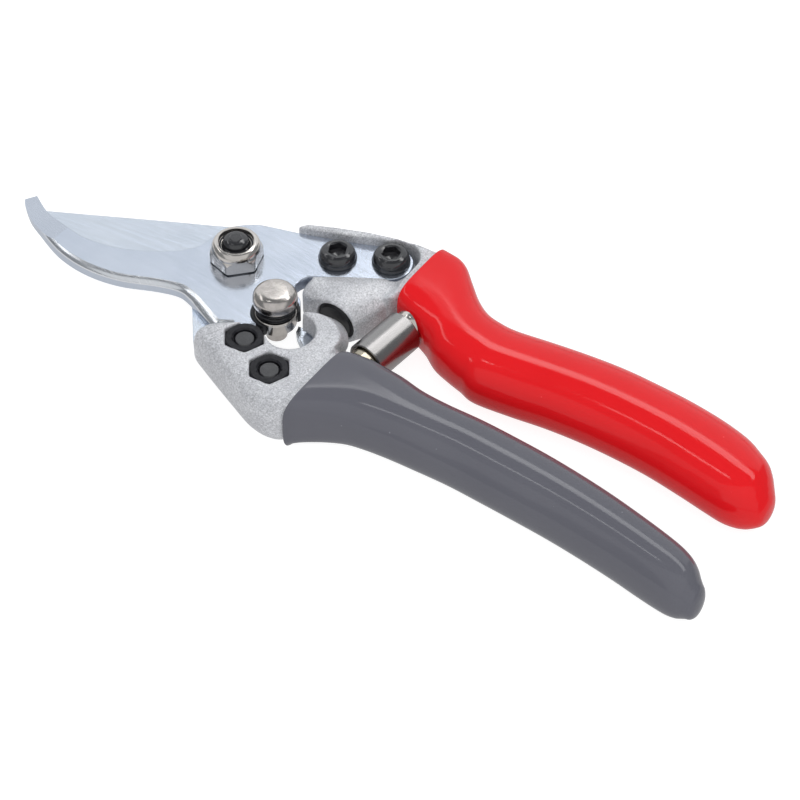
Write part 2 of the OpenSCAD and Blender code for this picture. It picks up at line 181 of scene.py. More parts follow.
def steel(name, colour, turn, along, across, lines, rough):
    """Ground steel with grind lines at an angle in the plate's plane."""
    mat, tree, shader = new_material(name, Metallic=1.0)
    streak = noise_of(tree, object_point(tree, (along, across, 300), turn), 1.0, 4, 0.62)
    cloud = noise_of(tree, object_point(tree), 55, 3)
    dark = tuple(c * (1 - lines) for c in colour)
    light = tuple(min(c * (1 + lines), 1) for c in colour)
    lined = ramp(tree, streak, [(0.3, dark), (0.7, light)])
    soft = ramp(tree, cloud, [(0.3, (0.93, 0.94, 0.95)), (0.7, (1.04, 1.04, 1.03))])
    tree.links.new(mixed(tree, 1.0, lined, soft, "MULTIPLY"), shader.inputs["Base Color"])
    tree.links.new(span(tree, streak, rough - 0.05, rough + 0.07, 0.3, 0.7), shader.inputs["Roughness"])
    tree.links.new(bump(tree, streak, 0.25, 0.00002), shader.inputs["Normal"])
    return mat


def vinyl(name, colour, deep):
    """Dipped plastic: a smooth gloss coat, faintly wavy, with a little dust."""
    mat, tree, shader = new_material(name, IOR=1.4)
    point = object_point(tree)
    wave = noise_of(tree, point, 60, 2)
    tone = ramp(tree, wave, [(0.3, deep), (0.7, colour)])
    dust = add(tree, "ShaderNodeTexVoronoi", Scale=170)
    tree.links.new(point, dust.inputs["Vector"])
    spot = span(tree, dust.outputs["Distance"], 1.0, 0.0, 0.025, 0.045)
    pale = tuple(min(c * 1.3 + 0.05, 1) for c in colour)
    tree.links.new(mixed(tree, spot, tone, pale), shader.inputs["Base Color"])
    tree.links.new(span(tree, noise_of(tree, point, 400, 3), 0.06, 0.13), shader.inputs["Roughness"])
    rolled = bump(tree, noise_of(tree, point, 45, 1), 0.15, 0.0006)
    tree.links.new(bump(tree, spot, 0.3, 0.00006, rolled), shader.inputs["Normal"])
    return mat


def nickel(name, rough=0.12, colour=(0.76, 0.715, 0.67), wear=1.0):
    """Nickel plate with fine handling marks; wear scales how strong they are."""
    mat, tree, shader = new_material(name, Metallic=1.0)
    point = object_point(tree)
    rub = noise_of(tree, point, 420, 5, 0.65)
    mark = noise_of(tree, object_point(tree, (260, 3200, 260), 0.5), 1.0, 3)
    dull = tuple(c * (1 - 0.14 * wear) for c in colour)
    tree.links.new(ramp(tree, rub, [(0.35, dull), (0.62, colour)]), shader.inputs["Base Color"])
    worn = span(tree, rub, rough - 0.03 * wear, rough + 0.05 * wear, 0.3, 0.75)
    tree.links.new(worn, shader.inputs["Roughness"])
    tree.links.new(bump(tree, mark, 0.12 * wear, 0.00002), shader.inputs["Normal"])
    return mat


def black_oxide(name, gloss, lift):
    """Blackened steel, slightly oily, rubbed lighter here and there; gloss is the IOR."""
    mat, tree, shader = new_material(name, IOR=gloss)
    point = object_point(tree)
    rub = noise_of(tree, point, 650, 5, 0.6)
    low, mid, high = (tuple(c * lift for c in (f, f, 1.2 * f)) for f in (0.012, 0.026, 0.07))
    tone = ramp(tree, rub, [(0.35, low), (0.68, mid), (0.84, high)])
    tree.links.new(tone, shader.inputs["Base Color"])
    tree.links.new(span(tree, rub, 0.1, 0.18, 0.3, 0.7), shader.inputs["Roughness"])
    tree.links.new(bump(tree, rub, 0.2, 0.00003), shader.inputs["Normal"])
    return mat


def matt_black(name, colour, rough, grain):
    """Rubber or nylon with a fine moulded grain."""
    mat, tree, shader = new_material(name, IOR=1.5)
    point = object_point(tree)
    grit = noise_of(tree, point, grain, 4)
    dark = tuple(c * 0.6 for c in colour)
    tree.links.new(ramp(tree, grit, [(0.35, dark), (0.65, colour)]), shader.inputs["Base Color"])
    tree.links.new(span(tree, grit, rough - 0.06, rough + 0.1), shader.inputs["Roughness"])
    tree.links.new(bump(tree, grit, 0.35, 0.00004), shader.inputs["Normal"])
    return mat


CAST = cast_metal()
HOOK_STEEL = steel("hook_steel", (0.64, 0.69, 0.785), 0.05, 90, 3200, 0.025, 0.17)
BLADE_STEEL = steel("blade_steel", (0.7, 0.75, 0.83), math.radians(-9), 60, 1500, 0.05, 0.2)
# Ground bevels: the steel's own grind lines, with a base colour lighter than the plates' as a painted
# highlight along the edges
GROUND_AND_HIGHLIGHT = steel("ground_edge_and_painted_highlight", (0.85, 0.87, 0.91), 0.3, 300, 2600, 0.04, 0.22)
# The tip's ground facet: its own grind lines, with a base colour darker than the hook's as painted shade
TIP_STEEL_SHADED = steel("tip_facet_painted_shade", (0.6, 0.64, 0.72), 0.3, 300, 2600, 0.04, 0.24)
RED = vinyl("red_vinyl", (0.88, 0.010, 0.015), (0.84, 0.009, 0.013))
GREY = vinyl("grey_vinyl", (0.138, 0.138, 0.162), (0.13, 0.13, 0.154))
NICKEL = nickel("nickel_plate")
KNOB = nickel("knob_nickel", 0.19, (0.68, 0.635, 0.6), 1.3)
NUT = nickel("nut_nickel", 0.17, (0.74, 0.7, 0.66), 0.6)
SPRING = nickel("spring_steel", 0.25, (0.36, 0.35, 0.345), 0.3)
COIL = nickel("spring_inner", 0.2, (0.5, 0.45, 0.36), 0.4)
BLACK = black_oxide("black_oxide", 1.8, 0.8)
DULL_BLACK = black_oxide("black_nut", 1.35, 0.9)
BOLT_END = black_oxide("bolt_end", 1.6, 1.5)
RUBBER = matt_black("rubber", (0.022, 0.022, 0.025), 0.42, 900)
ORING = matt_black("oring_rubber", (0.014, 0.014, 0.016), 0.22, 1500)
NYLON = matt_black("nylon", (0.016, 0.018, 0.026), 0.3, 700)


# ---- mesh helpers ---------------------------------------------------------------


def finish(name, mesh, material, body, stands_for=(), sharp=35):
    """Turns a mesh into a piece: material, shading, body and the nodes that it replaces."""
    obj = bpy.data.objects.new(name, mesh)
    bpy.context.scene.collection.objects.link(obj)
    for mat in material if isinstance(material, list) else [material]:
        mesh.materials.append(mat)
    mesh.shade_smooth()
    if sharp:
        mesh.set_sharp_from_angle(angle=math.radians(sharp))
    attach(obj, body)
    if stands_for:
        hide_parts(*stands_for)
    return obj


def flat_tops(obj):
    """Level faces shaded flat, so that rounded edges beside them don't bend their reflection."""
    for face in obj.data.polygons:
        if abs(face.normal.z) > 0.9995:
            face.use_smooth = False


def to_mesh(name, verts, faces):
    mesh = bpy.data.meshes.new(name)
    mesh.from_pydata([tuple(v) for v in verts], [], faces)
    mesh.update()
    return mesh


def recalculated(mesh):
    """Normals made to point outwards."""
    bm = bmesh.new()
    bm.from_mesh(mesh)
    bmesh.ops.remove_doubles(bm, verts=bm.verts, dist=1e-7)
    bmesh.ops.recalc_face_normals(bm, faces=bm.faces)
    bm.to_mesh(mesh)
    bm.free()
    return mesh


def grid(rows, close_rows=False, cap=True):
    """Faces over rows of points; each row is a closed ring. Returns (points, faces)."""
    n = len(rows[0])
    points = [p for row in rows for p in row]
    faces = []
    count = len(rows)
    for i in range(count if close_rows else count - 1):
        j = (i + 1) % count
        for k in range(n):
            m = (k + 1) % n
            faces.append((i * n + k, i * n + m, j * n + m, j * n + k))
    if cap and not close_rows:
        faces.append(tuple(reversed(range(n))))
        faces.append(tuple((count - 1) * n + k for k in range(n)))
    return points, faces


def merged(*parts):
    """Several (points, faces) as one."""
    points, faces = [], []
    for more, more_faces in parts:
        base = len(points)
        points += list(more)
        faces += [tuple(i + base for i in f) for f in more_faces]
    return points, faces


# ---- camera, light and floor ----------------------------------------------------


# The camera looks down at LOOK_AT from DISTANCE, TILT away from the vertical and TURN about it
LOOK_AT = Vector((61.11, -10.47, 3.21)) * MM
DISTANCE = 0.68
TILT = math.radians(42.5)
TURN = math.radians(35)
LENS = 117
# The lights stand round this point
LIT_POINT = Vector((0.05, 0, 0.01))


def studio():
    scene = bpy.context.scene
    scene.view_settings.view_transform = "Standard"
    lens = bpy.data.cameras.new("camera")
    lens.lens = LENS
    lens.sensor_width = 36
    camera = bpy.data.objects.new("camera", lens)
    backwards = Matrix.Rotation(TURN, 3, "Z") @ Matrix.Rotation(TILT, 3, "X") @ Vector((0, 0, 1))
    camera.location = LOOK_AT + DISTANCE * backwards
    camera.rotation_euler = (TILT, 0, TURN)
    scene.collection.objects.link(camera)
    scene.camera = camera

    world = bpy.data.worlds.new("studio")
    world.use_nodes = True
    world.node_tree.nodes["Background"].inputs["Color"].default_value = (0.92, 0.96, 1.0, 1)
    world.node_tree.nodes["Background"].inputs["Strength"].default_value = 0.27
    scene.world = world

    back = Vector((-math.sin(TURN), math.cos(TURN), 0))
    side = Vector((math.cos(TURN), math.sin(TURN), 0))

    def softbox(name, elevation, distance, width, height, radiance, shift=0.0, tint=(1, 1, 1)):
        """A rectangular light; elevation is measured from the back horizon over the zenith."""
        e = math.radians(elevation)
        towards = back * math.cos(e) + Vector((0, 0, 1)) * math.sin(e)
        place = LIT_POINT + distance * towards + side * shift
        light = bpy.data.lights.new(name, "AREA")
        light.shape = "RECTANGLE"
        light.size = width
        light.size_y = height
        light.energy = radiance * math.pi * width * height
        light.color = tint
        obj = bpy.data.objects.new(name, light)
        obj.location = place
        obj.rotation_euler = (LIT_POINT - place).to_track_quat("-Z", "Y").to_euler()
        scene.collection.objects.link(obj)
        return obj

    softbox("back_panel", 28, 1.5, 3.2, 1.4, 0.63, tint=(0.96, 0.98, 1.0))
    softbox("strip_back", 61.5, 1.5, 1.4, 0.26, 3.3, shift=0.52)
    softbox("strip_left", 67, 1.5, 0.9, 0.16, 2.4, shift=-1.05)
    softbox("strip_top", 80.5, 1.5, 0.09, 0.16, 4.2, shift=-0.41)
    softbox("front_panel", 138, 1.5, 3.4, 2.4, 0.42)
    softbox("fill_front", 150, 1.5, 3.4, 1.9, 0.45).visible_glossy = False
    softbox("fill_top", 95, 2.0, 3.0, 2.0, 0.6).visible_glossy = False

    mesh = to_mesh("floor", [(-4, -4, 0), (4, -4, 0), (4, 4, 0), (-4, 4, 0)], [(0, 1, 2, 3)])
    floor = bpy.data.objects.new("floor", mesh)
    scene.collection.objects.link(floor)
    mat, tree, shader = new_material("white_paper", Roughness=0.9)
    shader.inputs["Base Color"].default_value = (0.3, 0.3, 0.3, 1)
    shader.inputs["Emission Color"].default_value = (1, 1, 1, 1)
    seen = add(tree, "ShaderNodeLightPath")
    tree.links.new(span(tree, seen.outputs["Is Camera Ray"], 0.42, 0.9), shader.inputs["Emission Strength"])
    mesh.materials.append(mat)


# ---- castings --------------------------------------------------------------------


def copied_mesh(node):
    mesh = nodes[node].data.copy()
    mesh.materials.clear()
    return mesh


def with_modifiers(mesh, build):
    """mesh after the modifiers that build adds to an object that holds it."""
    holder = bpy.data.objects.new("holder", mesh)
    bpy.context.scene.collection.objects.link(holder)
    build(holder)
    graph = bpy.context.evaluated_depsgraph_get()
    made = bpy.data.meshes.new_from_object(holder.evaluated_get(graph))
    bpy.data.objects.remove(holder)
    made.materials.clear()
    return made


def relaxed(mesh, crisp, passes, broad=None):
    """Rounds a fine mesh's edges without shrinking it.

    Passes that draw each point to its neighbours' mean alternate with passes that push it back. Only light
    rounding is done inside the crisp circles. broad is (point, outward direction, depth, passes): the convex
    edges within depth of that line are rounded widely."""
    count = len(mesh.vertices)
    co = np.zeros(count * 3)
    mesh.vertices.foreach_get("co", co)
    co = co.reshape(-1, 3)
    ends = np.zeros(len(mesh.edges) * 2, dtype=np.int32)
    mesh.edges.foreach_get("vertices", ends)
    one, two = ends[0::2], ends[1::2]
    links = np.bincount(one, minlength=count) + np.bincount(two, minlength=count)
    soft = np.ones(count)
    for x, y, r in crisp:
        far = np.hypot(co[:, 0] - x, co[:, 1] - y)
        soft = np.minimum(soft, np.clip((far - r) / (0.8 * MM), 0.0, 1.0))

    def neighbours_mean(value):
        total = np.bincount(one, value[two], count) + np.bincount(two, value[one], count)
        return total / links

    def pull(amount, weight):
        for axis in range(3):
            value = co[:, axis]
            co[:, axis] = value + amount * weight * (neighbours_mean(value) - value)

    for _ in range(2):
        pull(0.5, 1.0)
    for _ in range(passes):
        pull(0.6, soft)
        pull(-0.54, soft)
    if broad:
        (x, y), (u, v), depth, turns = broad
        inside = (co[:, 0] - x) * u + (co[:, 1] - y) * v + depth
        near = soft * np.clip(inside / (0.5 * depth), 0.0, 1.0)
        mesh.vertices.foreach_set("co", co.ravel())
        mesh.update()
        facing = np.zeros(count * 3)
        mesh.vertices.foreach_get("normal", facing)
        facing = facing.reshape(-1, 3)
        for _ in range(turns):
            mean = np.empty_like(co)
            for axis in range(3):
                mean[:, axis] = neighbours_mean(co[:, axis])
            shift = mean - co
            convex = (shift * facing).sum(axis=1) < 0
            co += shift * (0.5 * near * convex)[:, None]
    mesh.vertices.foreach_set("co", co.ravel())
    mesh.update()


def casting(name, node, body, voxel, crisp, passes, broad=None):
    """The casting's head: the CAD shape with its edges softened as a mould leaves them. crisp holds
    (centre x, centre y, radius) circles in which the edges stay sharp."""
    mesh = copied_mesh(node)
    bm = bmesh.new()
    bm.from_mesh(mesh)
    bmesh.ops.remove_doubles(bm, verts=bm.verts, dist=2e-6)
    cut = bmesh.ops.bisect_plane(
        bm,
        geom=bm.verts[:] + bm.edges[:] + bm.faces[:],
        plane_co=(grip_x + 5 * MM, 0, 0),
        plane_no=(1, 0, 0),
        clear_outer=True,
    )
    rim = [e for e in cut["geom_cut"] if isinstance(e, bmesh.types.BMEdge)]
    bmesh.ops.holes_fill(bm, edges=rim)
    bm.to_mesh(mesh)
    bm.free()

    def remesh(holder):
        made = holder.modifiers.new("remesh", "REMESH")
        made.mode = "VOXEL"
        made.voxel_size = voxel

    mesh = with_modifiers(mesh, remesh)
    relaxed(mesh, crisp, passes, broad)
    return finish(name, mesh, CAST, body, (node,), sharp=0)


# ---- dipped grips -----------------------------------------------------------------


def natural(stations, n):
    """A smooth curve through the stations (rows of numbers), n steps a span."""
    rows = np.array(stations, float)
    out = []
    for i in range(len(rows) - 1):
        p = [rows[max(i - 1, 0)], rows[i], rows[i + 1], rows[min(i + 2, len(rows) - 1)]]
        for t in np.arange(n) / n:
            out.append(
                0.5
                * (
                    2 * p[1]
                    + (p[2] - p[0]) * t
                    + (2 * p[0] - 5 * p[1] + 4 * p[2] - p[3]) * t * t
                    + (3 * p[1] - p[0] - 3 * p[2] + p[3]) * t**3
                )
            )
    out.append(rows[-1])
    return out


# Stations in millimetres: x, centre y, half width, share of the height, squareness. Those of a grip's
# neck and tip are below; its body's are (x, share, squareness), and the CAD grip gives y and width.
RED_NECK = [
    (45.2, 21.9, 11.5, 1, 4.2), (48, 21.4, 12.0, 1, 4.0), (51, 20.8, 12.4, 1, 3.7), (54, 19.5, 12.3, 1, 3.4),
]
RED_BODY = [(58, 1, 3.0), (63, 1, 2.6), (68, 1, 2.4), (73, 1, 2.3), (78, 1, 2.25)]
RED_TIP = [
    (157, 8.5, 7.6, 0.81, 2.2), (158.6, 7.9, 6.1, 0.67, 2.1), (159.5, 7.6, 5.2, 0.57, 2),
    (160.3, 7.4, 4.2, 0.46, 2), (160.9, 7.3, 2.9, 0.33, 2), (161.2, 7.3, 1.3, 0.15, 2),
]
GREY_NECK = [(45.2, -26.6, 14.0, 1, 4.2), (48, -24.7, 13.1, 1, 4.0), (53, -22.6, 12.1, 1, 3.4)]
GREY_BODY = [(58, 1, 2.9), (63, 1, 2.6), (70, 1, 2.4), (78, 1, 2.3)]
GREY_TIP = [
    (157, -26.6, 6.1, 0.84, 2.2), (158.6, -27.1, 5.1, 0.72, 2.1), (159.6, -27.4, 4.6, 0.63, 2),
    (160.7, -27.7, 4.0, 0.54, 2), (161.5, -27.9, 2.9, 0.40, 2), (161.9, -28.0, 1.4, 0.20, 2),
]
# Both bodies go on alike to where the tips begin
BODY_END = [(x, 1, 2.2) for x in range(88, 139, 10)] + [(146, 1, 2.2), (151, 0.99, 2.2), (154.5, 0.94, 2.2)]
# The red body's half width grows and its centre moves by this much here, so that only its inner side
# moves, by twice as much. It takes a bump out of the outline.
RED_FILL = {68: 0.3}
# A tip hangs lower by this share of the height that it has lost
TIP_DROP = 0.15
# The plastic's thickness and the length of its rounded lip, in millimetres
GRIP_SKIN = 1.3
LIP = 0.55


def power(value, e):
    return math.copysign(abs(value) ** (2 / e), value)


def section(node, x):
    """Centre y and half width of the CAD node's section at x, all in millimetres."""
    across = [v.co.y / MM for v in nodes[node].data.vertices if abs(v.co.x / MM - x) < 0.02]
    return (min(across) + max(across)) / 2, (max(across) - min(across)) / 2


def grip_stations(node, neck, body, tip, fill):
    """A grip's stations. At the x's in fill, the half width grows and the centre moves by its value."""
    rows = list(neck)
    for x, share, square in body + BODY_END:
        y, a = section(node, x)
        more = fill.get(x, 0)
        rows.append((x, y - more, a + more, share, square))
    return rows + tip


def grip(name, node, stations, material, body):
    """Dipped plastic: smooth sections along the handle with a rounded lip at the casting."""
    low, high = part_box(node)
    half = (high.z - low.z) / 2
    centre_z = (high.z + low.z) / 2
    sides = 144
    path = natural(stations, 9)

    def ring(row, inset):
        x, y, a, tall, e = row
        a = (a - inset) * MM
        b = half * tall - inset * MM
        out = []
        for k in range(sides):
            t = 2 * math.pi * (k + 0.5) / sides
            z = centre_z - TIP_DROP * half * (1 - tall) + b * power(math.sin(t), e)
            out.append(Vector((x * MM, y * MM + a * power(math.cos(t), e), z)))
        return out

    first = path[0]
    rows = [ring(row_at(path, first[0] + deep), GRIP_SKIN + 0.05) for deep in (4.0, 1.2)]
    for i in range(9):
        turn = math.pi * i / 8
        row = first.copy()
        row[0] += LIP * (1 - math.sin(turn))
        rows.append(ring(row, GRIP_SKIN / 2 + (GRIP_SKIN / 2) * math.cos(turn)))
    rows += [ring(row, 0) for row in path if row[0] > first[0] + LIP + 0.2]
    points, faces = grid(rows, cap=False)
    tip = len(points)
    last = path[-1]
    points.append(Vector(((last[0] + 0.1) * MM, last[1] * MM, centre_z - TIP_DROP * half * (1 - last[3]))))
    base = (len(rows) - 1) * sides
    faces += [(base + k, base + (k + 1) % sides, tip) for k in range(sides)]
    mesh = recalculated(to_mesh(name, points, faces))
    return finish(name, mesh, material, body, (node,), sharp=0)


def row_at(path, x):
    """The station of the path at x millimetres."""
    table = np.array(path)
    return np.array([np.interp(x, table[:, 0], table[:, k]) for k in range(table.shape[1])])


# ---- blades ------------------------------------------------------------------------


def outlines(node):
    """The edges of the node's lowest flat face, longest first, each a counter-clockwise list of points."""
    bm = bmesh.new()
    bm.from_mesh(nodes[node].data)
    bmesh.ops.remove_doubles(bm, verts=bm.verts, dist=2e-6)
    low = min(v.co.z for v in bm.verts)
    flat = {f for f in bm.faces if all(abs(v.co.z - low) < 1e-6 for v in f.verts)}
    beside = {}
    for edge in bm.edges:
        if sum(f in flat for f in edge.link_faces) == 1:
            for a, b in (edge.verts, reversed(edge.verts)):
                beside.setdefault(a, []).append(b)
    loops = []
    while beside:
        start = next(iter(beside))
        loop, here, last = [], start, None
        while here in beside:
            loop.append(Vector(here.co.xy))
            ways = beside.pop(here)
            last, here = here, next((w for w in ways if w in beside and w is not last), start)
        loops.append(loop)
    bm.free()

    def length(loop):
        return sum((a - b).length for a, b in zip(loop, loop[1:] + loop[:1]))

    def area(loop):
        return sum(a.x * b.y - b.x * a.y for a, b in zip(loop, loop[1:] + loop[:1]))

    loops = [loop if area(loop) > 0 else loop[::-1] for loop in loops]
    return sorted((loop for loop in loops if len(loop) > 4), key=length, reverse=True)


def smoothed(loop, step=0.7 * MM, corner=math.radians(26)):
    """The closed loop as a smooth curve that keeps its corners."""
    n = len(loop)
    ahead = [(loop[(i + 1) % n] - loop[i]) for i in range(n)]
    out = []
    for i in range(n):
        span_here = ahead[i].length
        if span_here < 1e-6:
            continue
        before = ahead[i - 1]
        after = ahead[(i + 1) % n]
        here = ahead[i].normalized()
        start = here if before.angle(here, 0) > corner else (before.normalized() + here).normalized()
        end = here if here.angle(after, 0) > corner else (here + after.normalized()).normalized()
        pieces = max(1, round(span_here / step))
        a, b = loop[i], loop[(i + 1) % n]
        for k in range(pieces):
            t = k / pieces
            h = (2 * t**3 - 3 * t**2 + 1, t**3 - 2 * t**2 + t, -2 * t**3 + 3 * t**2, t**3 - t**2)
            out.append(a * h[0] + start * span_here * h[1] + b * h[2] + end * span_here * h[3])
    return out


def inwards(loop):
    """Unit normals that point into a counter-clockwise loop."""
    n = len(loop)
    out = []
    for i in range(n):
        a = (loop[i] - loop[i - 1]).normalized()
        b = (loop[(i + 1) % n] - loop[i]).normalized()
        along = (a + b).normalized() if (a + b).length > 1e-6 else b
        out.append(Vector((-along.y, along.x)))
    return out


# An upper edge is rounded by an arc of ROUND_TURN in ROUND_STEPS faces
ROUND_STEPS = 5
ROUND_TURN = math.radians(62)
# A wider edge than this counts as ground
GROUND_WIDTH = 0.6 * MM


def plate(name, node, edge, high):
    """A plate: the node's outline with its edges ground as edge says. Wide ground faces get slot 1, the
    ground steel, whose lighter colour is partly a painted highlight.

    edge(point, inward) gives the edge's width and rise below and its width and drop above."""
    loops = outlines(node)
    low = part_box(node)[0].z
    outer = smoothed(loops[0])
    facing = inwards(outer)
    n = len(outer)
    rows = [[], []] + [[] for _ in range(ROUND_STEPS + 1)]
    wide = [[], []]
    for p, inward in zip(outer, facing):
        under, rise, over, drop = edge(p, inward)
        rows[0].append(Vector((*(p + inward * under), low)))
        rows[1].append(Vector((*p, low + rise)))
        for i in range(ROUND_STEPS + 1):
            t = ROUND_TURN * i / ROUND_STEPS
            spot = p + inward * over * (1 - math.cos(t)) / (1 - math.cos(ROUND_TURN))
            rows[2 + i].append(Vector((*spot, high - drop * (1 - math.sin(t) / math.sin(ROUND_TURN)))))
        wide[0].append(under > GROUND_WIDTH)
        wide[1].append(over > GROUND_WIDTH)
    points, faces = grid(rows, cap=False)
    slots = []
    for i in range(len(rows) - 1):
        for k in range(n):
            m = (k + 1) % n
            below = i == 0 and wide[0][k] and wide[0][m]
            above = i >= 2 and wide[1][k] and wide[1][m]
            slots.append(int(below or above))
    sides = 72
    rings = []
    for loop in loops[1:]:
        centre = sum(loop, Vector((0, 0))) / len(loop)
        radius = sum((p - centre).length for p in loop) / len(loop)
        ring = []
        for k in range(sides):
            a = 2 * math.pi * k / sides
            ring.append(centre + radius * Vector((math.cos(a), math.sin(a))))
        rings.append(ring)
    for level, outside in ((low, rows[0]), (high, rows[-1])):
        polygon = [[Vector((p.x, p.y, 0)) for p in outside]]
        polygon += [[Vector((p.x, p.y, 0)) for p in ring] for ring in rings]
        base = len(points)
        flat = [p for ring in polygon for p in ring]
        points += [Vector((p.x, p.y, level)) for p in flat]
        made = geometry.tessellate_polygon(polygon)
        faces += [tuple(base + i for i in face) for face in made]
        slots += [0] * len(made)
    for ring in rings:
        wall, quads = grid([[Vector((*p, z)) for p in ring] for z in (low, high)], cap=False)
        base = len(points)
        points += wall
        faces += [tuple(base + i for i in q) for q in quads]
        slots += [0] * len(quads)
    mesh = to_mesh(name, points, faces)
    mesh.polygons.foreach_set("material_index", slots)
    return recalculated(mesh)


def taper(x, stops):
    """Piecewise linear in millimetres; stops are (x, value)."""
    xs, values = zip(*stops)
    return float(np.interp(x / MM, xs, values)) * MM


def hook_edge(p, inward):
    if inward.y > 0.2 and p.x < 15 * MM and p.y < -9 * MM:
        over = taper(p.x, [(-64, 0.5), (-50, 1.0), (-35, 1.5), (-8, 1.7), (2, 2.2), (9, 2.3)])
        return 0.2 * MM, 0.2 * MM, over, min(0.9 * over, 1.5 * MM)
    return 0.15 * MM, 0.15 * MM, 0.25 * MM, 0.25 * MM


def blade_edge(p, inward):
    if inward.y > 0.2 and p.x < 2 * MM and p.y < -12 * MM:
        under = taper(p.x, [(-58, 1.0), (-50, 4.2), (-14, 4.4), (-6, 2.5), (2, 0.8)])
        return under, 2.9 * MM, 0.03 * MM, 0.03 * MM
    return 0.2 * MM, 0.2 * MM, 0.15 * MM, 0.15 * MM


# The hook's tip is ground down by a plane through TIP_FACET, sloped and turned
TIP_FACET = (-45.3 * MM, -20 * MM, top_z)
TIP_SLOPE = math.radians(9)
TIP_TURN = math.radians(-3)
# The blade is cut lower round the lock pin
FINGER_DROP = 1.1 * MM
FINGER_REACH = 9.2 * MM


def hook_blade():
    mesh = plate("hook", "hook_blade", hook_edge, top_z)
    tilt = Matrix.Rotation(TIP_TURN, 3, "Z") @ Matrix.Rotation(-TIP_SLOPE, 3, "Y")
    bm = bmesh.new()
    bm.from_mesh(mesh)
    cut = bmesh.ops.bisect_plane(
        bm,
        geom=bm.verts[:] + bm.edges[:] + bm.faces[:],
        dist=1e-7,
        plane_co=TIP_FACET,
        plane_no=tilt @ Vector((0, 0, 1)),
        clear_outer=True,
    )
    rim = [e for e in cut["geom_cut"] if isinstance(e, bmesh.types.BMEdge) and len(e.link_faces) == 1]
    filled = bmesh.ops.holes_fill(bm, edges=rim)
    for face in filled["faces"]:
        # The filled tip facet gets slot 2, the tip steel darkened as painted shade
        face.material_index = 2
    bmesh.ops.recalc_face_normals(bm, faces=bm.faces)
    bm.to_mesh(mesh)
    bm.free()
    # Slot 1: ground steel lightened as a painted highlight; slot 2: tip steel darkened as painted shade
    steels = [HOOK_STEEL, GROUND_AND_HIGHLIGHT, TIP_STEEL_SHADED]
    obj = finish("hook", mesh, steels, "hook_side", ("hook_blade",), sharp=24)
    flat_tops(obj)


def cutting_blade():
    mesh = plate("blade", "cutting_blade", blade_edge, slide_z)
    centre = middle("lock_button").xy
    cutter_points, cutter_faces = around(
        [(FINGER_REACH, slide_z - FINGER_DROP), (FINGER_REACH, slide_z + 4 * MM)], Vector((*centre, 0))
    )
    cutter = bpy.data.objects.new("cutter", recalculated(to_mesh("cutter", cutter_points, cutter_faces)))
    bpy.context.scene.collection.objects.link(cutter)

    def cut(holder):
        made = holder.modifiers.new("cut", "BOOLEAN")
        made.operation = "DIFFERENCE"
        made.object = cutter
        made.solver = "EXACT"

    mesh = with_modifiers(mesh, cut)
    bpy.data.objects.remove(cutter)
    # Slot 1: ground steel lightened as a painted highlight
    steels = [BLADE_STEEL, GROUND_AND_HIGHLIGHT]
    obj = finish("blade", mesh, steels, "blade_side", ("cutting_blade",), sharp=24)
    flat_tops(obj)


# ---- turned and hexagonal hardware -----------------------------------------------------


def hexagon(flats, limit=math.inf):
    """Reach of a hexagon at each angle, cut off at limit, as a chamfer cuts its corners."""

    def reach(angle):
        local = (angle + math.pi / 6) % (math.pi / 3) - math.pi / 6
        return min(flats / 2 / math.cos(local), limit)

    return reach


def thread(radius, depth, pitch, z):
    """Reach of a thread's crest and root at each angle."""

    def reach(angle):
        t = (z / pitch - angle / (2 * math.pi)) % 1.0
        return radius - depth * abs(2 * t - 1)

    return reach


def around(rows, centre, up=Vector((0, 0, 1)), twist=0.0, sides=96, close=False):
    """A solid round an axis. rows are (reach, height); reach is a radius or a function of the angle."""
    turn = Vector((0, 0, 1)).rotation_difference(up).to_matrix() @ Matrix.Rotation(twist, 3, "Z")
    made = []
    for reach, height in rows:
        row = []
        for k in range(sides):
            a = 2 * math.pi * k / sides
            r = reach(a) if callable(reach) else reach
            row.append(centre + turn @ Vector((r * math.cos(a), r * math.sin(a), height)))
        made.append(row)
    return grid(made, close_rows=close)


def islands(node):
    """The centre of each separate solid of a node."""
    bm = bmesh.new()
    bm.from_mesh(nodes[node].data)
    bmesh.ops.remove_doubles(bm, verts=bm.verts, dist=2e-6)
    left, centres = set(bm.verts), []
    while left:
        found, queue = set(), [next(iter(left))]
        while queue:
            v = queue.pop()
            if v in found:
                continue
            found.add(v)
            queue += [e.other_vert(v) for e in v.link_edges]
        left -= found
        xs = [v.co for v in found]
        low = Vector([min(c[i] for c in xs) for i in range(3)])
        high = Vector([max(c[i] for c in xs) for i in range(3)])
        centres.append((low + high) / 2)
    bm.free()
    return sorted(centres, key=lambda c: c.x)


def threaded_rows(radius, start, end, pitch, depth=0.35 * MM):
    """Rows of a threaded shank from start to end."""
    step = pitch / 6
    count = max(2, int(abs(end - start) / step))
    rows = []
    for i in range(count + 1):
        z = start + (end - start) * i / count
        rows.append((thread(radius, depth, pitch, z), z))
    return rows


SOCKET = 4.7 * MM
SCREW_HEAD_R = 5.25 * MM
SCREW_HEAD_H = 3.3 * MM
SCREW_PITCH = 1.0 * MM


